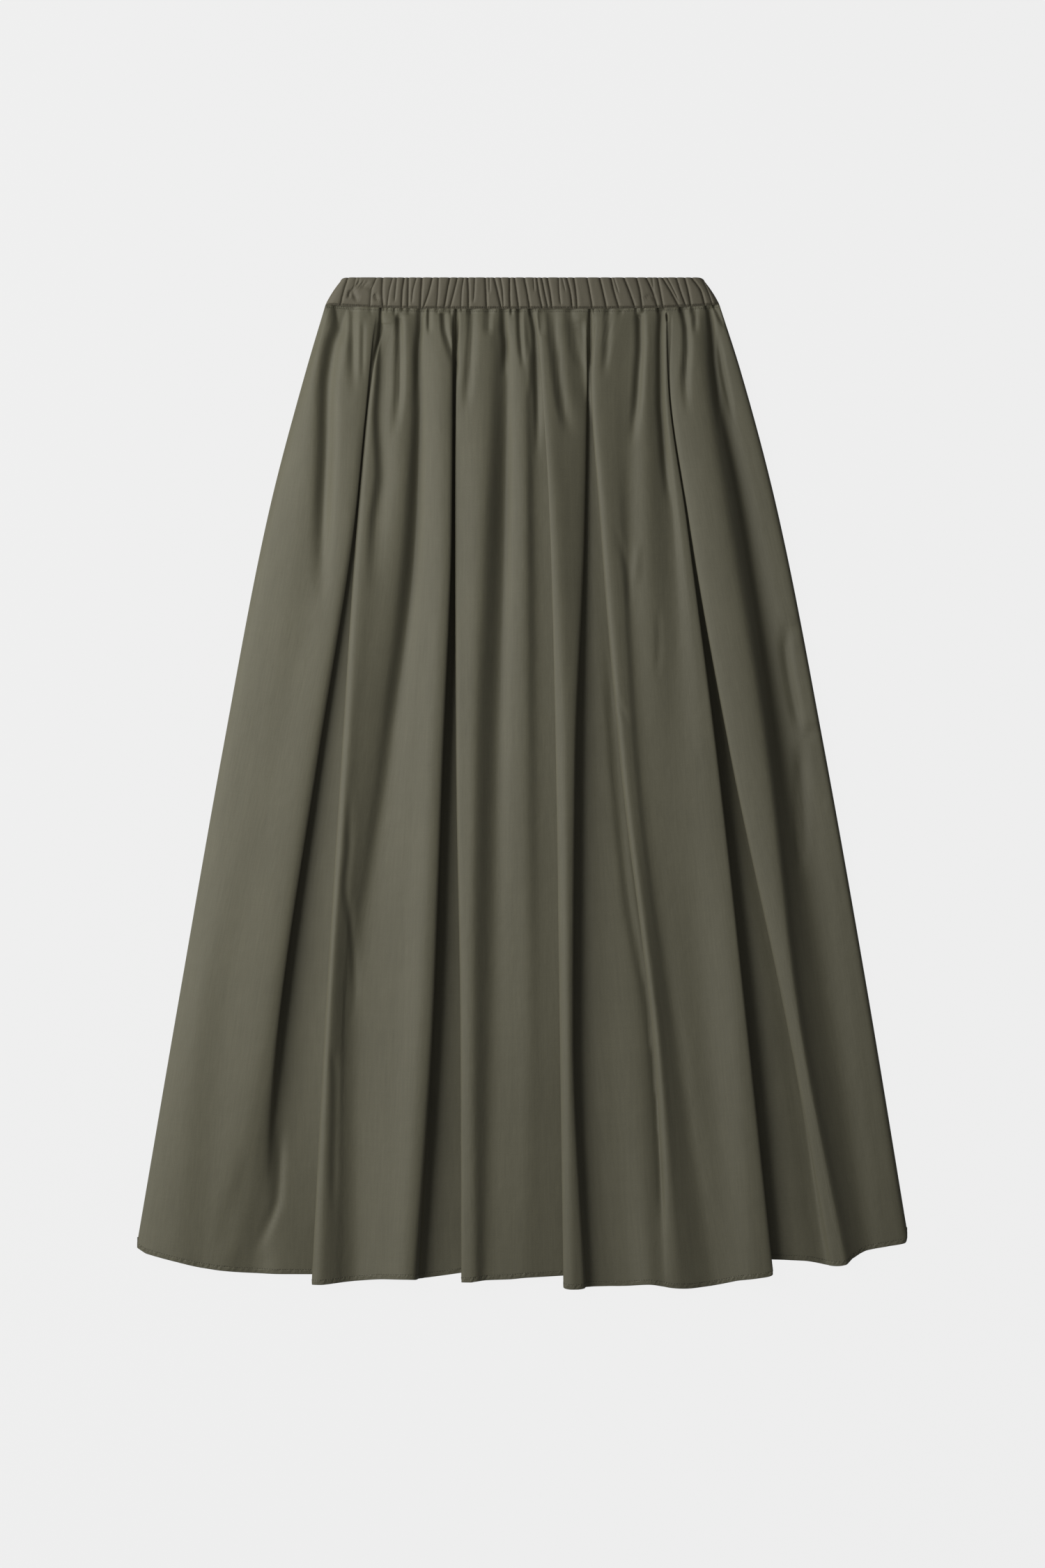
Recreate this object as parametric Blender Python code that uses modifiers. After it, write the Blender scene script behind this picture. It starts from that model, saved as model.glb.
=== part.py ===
"""A gathered A-line midi skirt with an elastic waistband, laid flat with its front up.

Frame: the skirt lies on the plane Z = 0 with its waist towards +Y and its hem towards -Y.
The origin is at the middle of its outline. Sizes below are in millimetres.
Run with: blender --background --python part.py
"""

from collections import namedtuple

import bmesh
import bpy
import numpy as np

MM = 0.001

# Driving sizes
WAIST_TOP_Y = 435.1
BAND_HEIGHT = 26.4
SEAM_Y = WAIST_TOP_Y - BAND_HEIGHT
SEAM_END_RISE = 3.6
SEAM_CURVE_POWER = 4
BAND_TOP_HALF = 156.5
BAND_FOOT_HALF = 171.0
BAND_CORNER = 3.0
BAND_CORNER_POWER = 40

CLOTH_WALL = 1.2
HEM_WALL = 2.0
HEM_TURN = 5.5
BAND_WALL = 1.8
BAND_BACK_WALL = 2.2
SEAM_GAP = 0.3
SEAM_HEIGHT = 4.0

# Where along the skirt's length the folds are set out, as shares of the way from seam to hem
STATIONS = (0.0, 0.07, 0.2225, 0.47, 0.74, 1.0)
RISE_AT_SECOND_STATION = 0.55
HEM_SHARE_BEFORE_HEM = 0.4

# The front's fold lines from left to right. x_... is the place across the skirt at the six
# stations, z_... the cloth's height at the third, the fourth and the hem, and drop the cloth's
# length from the seam to the hem. Where x runs back, the cloth doubles under a fold's edge.
Line = namedtuple(
    "Line", "name x_seam x_upper x_hip x_mid x_low x_hem z_hip z_mid z_hem drop"
)
FRONT_LINES = [
    Line("left_side", -169.5, -186.3, -218.7, -257.4, -295.8, -331.8, 2.1, 2.1, 3.4, 812),
    Line("left_shoulder", -167, -182, -212.5, -249.8, -287.8, -322.5, 6.5, 6.5, 6, 817),
    Line("left_crest", -164, -180.5, -198, -233, -269, -300, 11, 10.5, 8.5, 822.8),
    Line("left_valley", -159, -174.5, -179.5, -209, -247, -267, 8, 11, 6, 827.7),
    Line("left_roll", -143, -148, -158, -192, -229, -240, 14, 16, 8.5, 830.1),
    Line("left_roll_edge", -126.5, -131, -143.5, -177.5, -210.5, -219, 9, 10, 7, 831),
    Line("left_gap_foot", -123.5, -131.5, -147, -182.5, -212.5, -208, 4.6, 4.6, 6, 831.7),
    Line("fold_1_turn", -119.5, -122.3, -134, -147.5, -159.5, -170.5, 5.2, 5.5, 7, 832.5),
    Line("fold_1_edge", -116, -127, -140.5, -155.5, -170, -180, 8.6, 9, 10.5, 840.5),
    Line("fold_1_ridge", -113, -122.5, -134.5, -149.5, -162.5, -172, 11.5, 12.5, 14, 840),
    Line("fold_1_valley", -107.5, -110, -128, -137, -152.5, -153.5, 8.5, 9, 10.5, 836),
    Line("fold_1_rib", -98.5, -100, -114, -127, -147, -141, 13, 9.6, 11.5, 835),
    Line("fold_1_dip", -89.5, -91, -98, -118, -140, -129, 9, 8.8, 12.5, 834.5),
    Line("fold_1_crest", -73, -74.5, -78, -91, -106, -114, 17, 18, 15.5, 834),
    Line("fold_1_far_edge", -61, -59, -60.5, -69, -80, -95, 12, 13, 10.5, 834.5),
    Line("gap_2_foot", -58.5, -60.5, -63.5, -72.5, -82, -84, 4.8, 4.8, 7.5, 834),
    Line("fold_2_turn", -56, -55, -55.5, -53.5, -49.5, -45, 5.2, 5.4, 7.5, 829),
    Line("fold_2_edge", -53.5, -57, -59.3, -60, -56, -53, 11, 12, 12, 837.5),
    Line("fold_2_ridge", -49.5, -51, -53.5, -53, -49, -45.5, 15.5, 17, 15, 837.5),
    Line("fold_2_crest", -30, -30, -36, -41, -39.5, -37, 15, 16.5, 13.5, 836.5),
    Line("fold_2_valley", -17.5, -17, -22, -31, -31, -29, 7.5, 9.5, 9, 836),
    Line("fold_2_rib", -8, -6, -8, -8, -6, -5, 13.5, 15.5, 12, 835),
    Line("fold_2_dip", 0, 6, 9.5, 11.5, 14.5, 19, 9, 10, 8, 833),
    Line("fold_3_turn", 5.5, 20, 29.5, 33.5, 37, 43, 7.4, 8, 7, 831.5),
    Line("fold_3_edge", 9, 16.5, 23, 27, 30.5, 35.5, 12.3, 13.2, 12.2, 841),
    Line("fold_3_ridge", 14, 22.5, 30, 33, 34.5, 42, 15.5, 17.2, 16, 843.5),
    Line("fold_3_crest", 42, 48, 47.5, 41.5, 38.5, 51, 13, 16, 13.5, 843.5),
    Line("fold_3_far_edge", 54, 56.5, 53.5, 46, 42, 57, 9, 11, 9.5, 842.5),
    Line("gap_4_foot", 57, 54.5, 50.5, 44, 50, 63.5, 4.8, 4.8, 7, 841.5),
    Line("gap_4_floor", 59.5, 57.5, 58, 62, 77, 84, 3.2, 3.6, 8, 839.5),
    Line("fold_4_turn", 62, 62, 71, 89.5, 114.5, 106, 5.4, 6, 8.5, 840.5),
    Line("fold_4_edge", 64.5, 59, 65, 83, 108.5, 120, 10, 11, 11.3, 842),
    Line("fold_4_ridge", 68.5, 65, 71, 89.5, 116, 132, 14, 15.5, 14, 843),
    Line("fold_4_valley", 80.5, 80.5, 86, 99.5, 131, 153, 11, 12.3, 10.5, 841),
    Line("fold_4_crest", 90, 93, 104.5, 129, 156, 177, 15, 17.5, 14, 838),
    Line("fold_4_rib", 105, 108, 125, 153, 174, 198, 14, 17, 14, 835.5),
    Line("fold_4_far_edge", 118, 123.5, 141.5, 168.5, 191, 215, 10, 11.5, 11, 831),
    Line("gap_5_foot", 120.5, 119.5, 137, 165, 187.5, 209, 4.8, 4.8, 6, 819.5),
    Line("gap_5_floor", 123, 123, 141, 171.5, 207.5, 240, 3.2, 3.4, 7.5, 821.7),
    Line("fold_5_turn", 125.5, 128.5, 147, 182, 231, 254, 5.4, 6, 9.5, 825),
    Line("fold_5_edge", 128, 125, 141.5, 176, 224.5, 260.5, 10, 11.5, 12, 825.8),
    Line("fold_5_ridge", 133, 133, 150, 185, 231, 270.5, 14, 17, 14, 825.4),
    Line("fold_5_crest", 147, 152, 174, 199, 237.5, 282.5, 15, 17.5, 12, 823.3),
    Line("fold_5_far_edge", 156, 158.5, 179.5, 212, 244, 288, 8.5, 9, 8, 819.5),
    Line("right_valley", 160, 162, 183, 215, 250, 285.5, 7, 7.5, 4.5, 814),
    Line("right_crest", 164.5, 175, 203, 240, 275, 307, 11, 12.5, 8.5, 809.4),
    Line("right_shoulder", 167, 183, 213, 250.5, 289, 323, 6.5, 6.5, 6, 808),
    Line("right_side", 169.5, 187.5, 219.6, 258.6, 297, 331.8, 2.1, 2.1, 3.4, 803.7),
]

LINE_NAMES = [line.name for line in FRONT_LINES]

# The folds' edges that meet part of the way down, and the smallest gap between them
MEETING_EDGES = (
    ("left_roll_edge", "fold_1_edge"),
    ("fold_1_far_edge", "fold_2_edge"),
    ("fold_3_far_edge", "fold_4_edge"),
    ("fold_4_far_edge", "fold_5_edge"),
)
SMALLEST_FOLD_GAP = 2.8

# The front's middle can't come nearer the surface than this, where it lies on the back
FRONT_LOWEST = CLOTH_WALL + SEAM_GAP + CLOTH_WALL / 2

# The short gathers at the seam: place along the seam, how far down they reach, their depth
Gather = namedtuple("Gather", "x reach depth")
SHORT_GATHERS = [
    Gather(-150, 105, 1.6),
    Gather(-133, 45, 1.2),
    Gather(-81, 55, 1.1),
    Gather(-67, 60, 1.8),
    Gather(-44, 100, 1.8),
    Gather(-32, 45, 1.2),
    Gather(22, 70, 1.4),
    Gather(34, 45, 1.6),
    Gather(46, 85, 1.6),
    Gather(76, 90, 1.6),
    Gather(98, 130, 2.2),
    Gather(112, 120, 1.6),
    Gather(138, 90, 1.6),
    Gather(149, 60, 1.4),
]
GATHER_HALF_WIDTH = 3.4
GATHER_FADE_POWER = 1.5
DEPTH_SHARE_AT_SEAM = 0.45
FULL_DEPTH_BELOW_SEAM = 14.0

# The back lies flat, and lifts a little into the hollows of the front's largest folds
BACK_FLUTES = (
    "left_crest",
    "fold_1_crest",
    "fold_2_crest",
    "fold_2_rib",
    "fold_4_crest",
    "fold_5_crest",
    "right_crest",
)
FLUTE_SHARE = 0.17
FLUTE_HALF_WIDTH = 9.0
FLATTEST_FLUTE = 0.02
BACK_INSET = 0.8

# The back's hem, shorter than the front's so that it doesn't show: place across, length from the seam
BACK_HEM = ((-332, 806), (-220, 822), (0, 825), (200, 814), (332, 797))

# The waistband's gathers, which wander from even places and all but vanish where the elastic is joined
BAND_GATHERS = 46
BAND_CROWN = 0.5
BAND_CROWN_POWER = 10
BAND_PILLOW = 1.3
PILLOW_SPAN = (0.1, 0.95)
PILLOW_POWER = 0.7
GATHER_WANDER = 0.28
WANDER_STEP = 5.3
PLAIN_PLACE = -0.84
PLAIN_HALF_WIDTH = 0.09
PLAIN_SHARE = 0.8

# How finely the sheets are cut into faces
FRONT_ROWS = (
    0.0, 0.012, 0.027, 0.045, 0.065, 0.085, 0.11, 0.15, 0.2, 0.27,
    0.36, 0.46, 0.56, 0.66, 0.75, 0.83, 0.9, 0.955,
)  # fmt: skip
BACK_ROWS = (0.0, 0.07, 0.22, 0.42, 0.64, 0.85)
BACK_COLUMNS = 40
BAND_ROWS = (0.0, 0.15, 0.6, 1.0)
BAND_COLUMNS_PER_GATHER = 4
BAND_BACK_COLUMNS = 24
HEM_STEP = 0.001
FRONT_FACE_WIDTH = 9.0
FACES_AT_A_BEND = 2
MOST_PER_SPAN = 3
BENDS = ("turn", "edge", "foot")

UPWARDS = 1
OLIVE = (0.125, 0.12, 0.09, 1.0)
CLOTH_ROUGHNESS = 0.75


def curve_through(knots, values, at):
    """A smooth curve through the values, which never swings past them, read at the places at."""
    knots = np.asarray(knots, float)
    values = np.asarray(values, float)
    steps = np.diff(knots).reshape((-1,) + (1,) * (values.ndim - 1))
    slopes = np.diff(values, axis=0) / steps
    tangents = np.zeros_like(values)
    tangents[0], tangents[-1] = slopes[0], slopes[-1]
    before, after = slopes[:-1], slopes[1:]
    level = before * after <= 0
    safe_before = np.where(level, 1.0, before)
    safe_after = np.where(level, 1.0, after)
    weight_before = 2 * steps[1:] + steps[:-1]
    weight_after = steps[1:] + 2 * steps[:-1]
    blended = (weight_before + weight_after) / (
        weight_before / safe_before + weight_after / safe_after
    )
    tangents[1:-1] = np.where(level, 0.0, blended)
    at = np.asarray(at, float)
    span = np.clip(np.searchsorted(knots, at, side="right") - 1, 0, len(knots) - 2)
    step = steps[span]
    t = ((at - knots[span]).reshape(step.shape)) / step
    start, end = values[span], values[span + 1]
    return (
        (2 * t**3 - 3 * t**2 + 1) * start
        + (t**3 - 2 * t**2 + t) * step * tangents[span]
        + (3 * t**2 - 2 * t**3) * end
        + (t**3 - t**2) * step * tangents[span + 1]
    )


def section_through(corners, columns):
    """A rounded path through a section's corners, read at places counted in corners."""
    legs = np.diff(corners, axis=0)
    spans = np.sqrt(np.linalg.norm(legs, axis=1, keepdims=True))
    speeds = legs / spans
    before, after = spans[:-1], spans[1:]
    tangents = np.empty_like(corners)
    tangents[0], tangents[-1] = speeds[0], speeds[-1]
    tangents[1:-1] = (speeds[:-1] * after + speeds[1:] * before) / (before + after)
    span = np.clip(columns.astype(int), 0, len(corners) - 2)
    t = (columns - span)[:, None]
    step = spans[span]
    return (
        (2 * t**3 - 3 * t**2 + 1) * corners[span]
        + (t**3 - 2 * t**2 + t) * step * tangents[span]
        + (3 * t**2 - 2 * t**3) * corners[span + 1]
        + (t**3 - t**2) * step * tangents[span + 1]
    )


def keep_folds_apart(places):
    """Moves the edges of two folds that meet so that a narrow gap stays between them."""
    for left_name, right_name in MEETING_EDGES:
        left, right = LINE_NAMES.index(left_name), LINE_NAMES.index(right_name)
        short = max(0.0, SMALLEST_FOLD_GAP - (places[right] - places[left]))
        places[left] -= short / 2
        places[right] += short / 2


def line_places(line):
    return (line.x_seam, line.x_upper, line.x_hip, line.x_mid, line.x_low, line.x_hem)


def line_heights(line):
    upper = SEAM_HEIGHT + RISE_AT_SECOND_STATION * (line.z_hip - SEAM_HEIGHT)
    low = line.z_mid + HEM_SHARE_BEFORE_HEM * (line.z_hem - line.z_mid)
    return (SEAM_HEIGHT, upper, line.z_hip, line.z_mid, low, line.z_hem)


def front_columns():
    """Places across the front, counted in fold lines, with more of them in the wide spans."""
    places = []
    for i, (line, following) in enumerate(zip(FRONT_LINES, FRONT_LINES[1:])):
        bent = line.name.endswith(BENDS) or following.name.endswith(BENDS)
        width = abs(following.x_mid - line.x_mid)
        count = min(int(np.ceil(width / FRONT_FACE_WIDTH)), MOST_PER_SPAN)
        count = FACES_AT_A_BEND if bent else count
        places += [i + j / count for j in range(count)]
    places = np.array(places + [len(FRONT_LINES) - 1], float)
    seam_places = [line.x_seam for line in FRONT_LINES]
    for gather in SHORT_GATHERS:
        place = np.interp(gather.x, seam_places, range(len(FRONT_LINES)))
        places[np.argmin(np.abs(places - place))] = place
    return places


def seam_y(x):
    """The waist seam, which rises a little towards the sides."""
    return SEAM_Y + SEAM_END_RISE * (np.abs(x) / BAND_FOOT_HALF) ** SEAM_CURVE_POWER


def gather_height(x, below_seam):
    """How far the short gathers sink the cloth at x along the seam, below_seam down from it."""
    total = np.zeros(np.broadcast(x, below_seam).shape)
    for gather in SHORT_GATHERS:
        fade = np.clip(1 - below_seam / gather.reach, 0, 1) ** GATHER_FADE_POWER
        opening = np.clip(below_seam / FULL_DEPTH_BELOW_SEAM, 0, 1)
        start = DEPTH_SHARE_AT_SEAM + (1 - DEPTH_SHARE_AT_SEAM) * opening
        across = np.exp(-(((x - gather.x) / GATHER_HALF_WIDTH) ** 2))
        total -= gather.depth * fade * start * across
    return total


def front_surface(columns, rows):
    """The middle of the front's wall: an array of points, a row for each share of the length."""
    place_table = np.array([line_places(line) for line in FRONT_LINES]).T
    height_table = np.array([line_heights(line) for line in FRONT_LINES]).T
    drop_table = np.array([line.drop for line in FRONT_LINES])
    knots = np.arange(len(FRONT_LINES))
    drops = curve_through(knots, drop_table, columns)
    x_at_seam = curve_through(knots, place_table[0], columns)
    points = np.empty((len(rows), len(columns), 3))
    for i, share in enumerate(rows):
        lines_x = curve_through(STATIONS, place_table, [share])[0]
        lines_z = curve_through(STATIONS, height_table, [share])[0]
        keep_folds_apart(lines_x)
        section = section_through(np.stack((lines_x, lines_z), axis=1), columns)
        below = share * drops
        points[i, :, 0] = section[:, 0]
        points[i, :, 1] = seam_y(x_at_seam) - SEAM_GAP / 2 - below
        points[i, :, 2] = np.maximum(section[:, 1] + gather_height(x_at_seam, below), FRONT_LOWEST)
    return points


def line_at(name, share):
    """(place across, height) of one of the front's fold lines at a share of the length."""
    line = next(line for line in FRONT_LINES if line.name == name)
    x = curve_through(STATIONS, line_places(line), [share])[0]
    z = curve_through(STATIONS, line_heights(line), [share])[0]
    return x, z


def back_surface(rows):
    """The back's underside, flat but for the flutes under the front's folds."""
    left, right = FRONT_LINES[0], FRONT_LINES[-1]
    across = np.linspace(0, 1, BACK_COLUMNS + 1)
    hem_places, hem_drops = zip(*BACK_HEM)
    points = np.empty((len(rows), len(across), 3))
    for i, share in enumerate(rows):
        x_left = curve_through(STATIONS, line_places(left), [share])[0] + BACK_INSET
        x_right = curve_through(STATIONS, line_places(right), [share])[0] - BACK_INSET
        x = x_left + (x_right - x_left) * across
        x_seam = left.x_seam + (right.x_seam - left.x_seam) * across
        x_hem = left.x_hem + (right.x_hem - left.x_hem) * across
        drop = curve_through(hem_places, hem_drops, x_hem)
        lift = np.zeros(len(across))
        for name in BACK_FLUTES:
            x_line, z_line = line_at(name, share)
            height = FLUTE_SHARE * (z_line - SEAM_HEIGHT)
            lift += height * np.exp(-(((x - x_line) / FLUTE_HALF_WIDTH) ** 2))
        points[i, :, 0] = x
        points[i, :, 1] = seam_y(x_seam) - SEAM_GAP / 2 - share * drop
        points[i, :, 2] = np.where(lift > FLATTEST_FLUTE, lift, 0)
    return points


def hem_rows(rows, drop):
    """Rows down the length, with two more that mark the top of the turned hem."""
    turn = 1 - HEM_TURN / drop
    return (*rows, turn - HEM_STEP, turn, 1.0)


def band_surface(columns, half_widths, height_of):
    """The middle of a waistband's wall, a trapezoid that widens down to the seam."""
    points = np.empty((len(BAND_ROWS), len(columns), 3))
    for i, share in enumerate(BAND_ROWS):
        half = half_widths[0] + (half_widths[1] - half_widths[0]) * share
        x = columns * half
        foot = seam_y(columns * half_widths[1]) + SEAM_GAP / 2
        corner = BAND_CORNER * (1 - share) * np.abs(columns) ** BAND_CORNER_POWER
        points[i, :, 0] = x
        points[i, :, 1] = WAIST_TOP_Y - corner - (WAIST_TOP_Y - foot) * share
        points[i, :, 2] = height_of(columns, share)
    return points


def band_gather_places():
    """Where the band's gathers part, from -1 to 1 along the band, unevenly spaced."""
    even = np.arange(BAND_GATHERS + 1) / BAND_GATHERS
    wander = GATHER_WANDER * np.sin(WANDER_STEP * np.arange(BAND_GATHERS + 1)) / BAND_GATHERS
    wander[0] = wander[-1] = 0
    return 2 * (even + wander) - 1


def front_band_columns():
    """(places along the front band, how puffed each is): a crease, then a rounded pillow."""
    parts = band_gather_places()
    places, puffs = [], []
    for start, end in zip(parts, parts[1:]):
        for j in range(BAND_COLUMNS_PER_GATHER):
            share = j / BAND_COLUMNS_PER_GATHER
            places.append(start + (end - start) * share)
            puffs.append(np.sin(np.pi * share) ** PILLOW_POWER)
    places, puffs = np.array(places + [1.0]), np.array(puffs + [0.0])
    plain = np.exp(-(((places - PLAIN_PLACE) / PLAIN_HALF_WIDTH) ** 2))
    return places, puffs * (1 - PLAIN_SHARE * plain)


def front_band_surface():
    """The middle of the front band's wall, a row of pillows between creases."""
    columns, puffs = front_band_columns()

    def height(places, share):
        level = BAND_BACK_WALL + SEAM_GAP + BAND_WALL / 2
        inside = 1 - np.abs(places) ** BAND_CROWN_POWER
        swell = np.sin(np.pi * np.interp(share, (0, 1), PILLOW_SPAN))
        return level + (BAND_CROWN + BAND_PILLOW * puffs * swell) * inside

    return band_surface(columns, (BAND_TOP_HALF, BAND_FOOT_HALF), height)


def back_band_surface():
    """The back band's underside, which is flat."""
    columns = np.linspace(-1, 1, BAND_BACK_COLUMNS + 1)
    halves = (BAND_TOP_HALF - BACK_INSET, BAND_FOOT_HALF - BACK_INSET)

    def height(places, share):
        return np.zeros(len(places))

    return band_surface(columns, halves, height)


def cloth_material(name, colour, roughness):
    material = bpy.data.materials.new(name)
    material.use_nodes = True
    shader = material.node_tree.nodes["Principled BSDF"]
    shader.inputs["Base Color"].default_value = colour
    shader.inputs["Roughness"].default_value = roughness
    shader.inputs["Metallic"].default_value = 0.0
    return material


def sheet_object(name, points, wall, material, collection, side=0, hem_wall=None):
    """An open sheet lofted through rows of points and thickened, around them or to one side."""
    bm = bmesh.new()
    grid = [[bm.verts.new(point * MM) for point in row] for row in points]
    for upper, lower in zip(grid, grid[1:]):
        for i in range(len(upper) - 1):
            bm.faces.new((upper[i], lower[i], lower[i + 1], upper[i + 1]))
    mesh = bpy.data.meshes.new(name)
    bm.to_mesh(mesh)
    bm.free()
    mesh.materials.append(material)
    mesh.shade_smooth()
    obj = bpy.data.objects.new(name, mesh)
    collection.objects.link(obj)
    solidify = obj.modifiers.new("wall", "SOLIDIFY")
    solidify.offset = side
    solidify.thickness = (hem_wall or wall) * MM
    solidify.use_even_offset = True
    solidify.use_quality_normals = True
    if hem_wall:
        row_length = points.shape[1]
        first_of_hem = (points.shape[0] - 2) * row_length
        group = obj.vertex_groups.new(name="turned_hem")
        group.add(range(first_of_hem, points.shape[0] * row_length), 1.0, "REPLACE")
        solidify.vertex_group = group.name
        solidify.thickness_vertex_group = wall / hem_wall
    return obj


def clear_scene():
    for obj in list(bpy.data.objects):
        bpy.data.objects.remove(obj)


def build_skirt():
    clear_scene()
    collection = bpy.data.collections.new("midi_skirt")
    bpy.context.scene.collection.children.link(collection)
    cloth = cloth_material("olive_cotton", OLIVE, CLOTH_ROUGHNESS)
    band_cloth = cloth_material("olive_band", OLIVE, CLOTH_ROUGHNESS)

    tallest = max(line.drop for line in FRONT_LINES)
    front = front_surface(front_columns(), hem_rows(FRONT_ROWS, tallest))
    back = back_surface(hem_rows(BACK_ROWS, tallest))
    sheet_object("front_panel", front, CLOTH_WALL, cloth, collection, hem_wall=HEM_WALL)
    sheet_object("back_panel", back, CLOTH_WALL, cloth, collection, UPWARDS, HEM_WALL)
    band_front, band_back = front_band_surface(), back_band_surface()
    sheet_object("waistband_front", band_front, BAND_WALL, band_cloth, collection)
    sheet_object("waistband_back", band_back, BAND_BACK_WALL, band_cloth, collection, UPWARDS)


build_skirt()
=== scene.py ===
"""The looks of a gathered A-line midi skirt that lies flat with its front up.

Sizes are in millimetres, in the frame of the solids: X runs across the skirt, Y up to its
waist and Z out of its front. The cloth pieces are thin sheets on the forms of the solids.
"""

from collections import namedtuple

import bpy
import numpy as np
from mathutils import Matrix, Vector


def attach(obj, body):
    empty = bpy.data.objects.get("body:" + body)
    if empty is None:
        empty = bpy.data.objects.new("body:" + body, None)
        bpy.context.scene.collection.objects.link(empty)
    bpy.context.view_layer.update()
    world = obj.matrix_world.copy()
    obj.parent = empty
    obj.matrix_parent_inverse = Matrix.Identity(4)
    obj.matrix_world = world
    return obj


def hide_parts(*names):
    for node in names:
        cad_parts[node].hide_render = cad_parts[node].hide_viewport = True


MM = 0.001

# Driving sizes
WAIST_TOP_Y = 435.1
BAND_HEIGHT = 26.4
SEAM_Y = WAIST_TOP_Y - BAND_HEIGHT
SEAM_END_RISE = 3.6
SEAM_CURVE_POWER = 4
BAND_TOP_HALF = 156.5
BAND_FOOT_HALF = 169.5
BAND_SIDE_BOW = 0.9
BAND_CORNER = 2.6
BAND_CORNER_POWER = 90
SEAM_HEIGHT = 3.6
SIDE_HEIGHT = 0.9
BACK_HEIGHT = 0.15

# The turned hem: how far the separate strip reaches up, its thickness, and its seam allowance
HEM_TURN = 4.6
HEM_THICKNESS = 0.9
HEM_ALLOWANCE = 9.0
HEM_STITCH_ABOVE_EDGE = 4.2

# Where along the skirt's length the folds are set out, as shares of the way from seam to hem
STATIONS = (0.0, 0.07, 0.2225, 0.47, 0.74, 1.0)

# How far the folds have risen a little below the seam, at shares of the length before the third station
RISE_STATIONS = (0.0, 0.02, 0.07)
RISES = (0.0, 0.3, 0.58)

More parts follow.
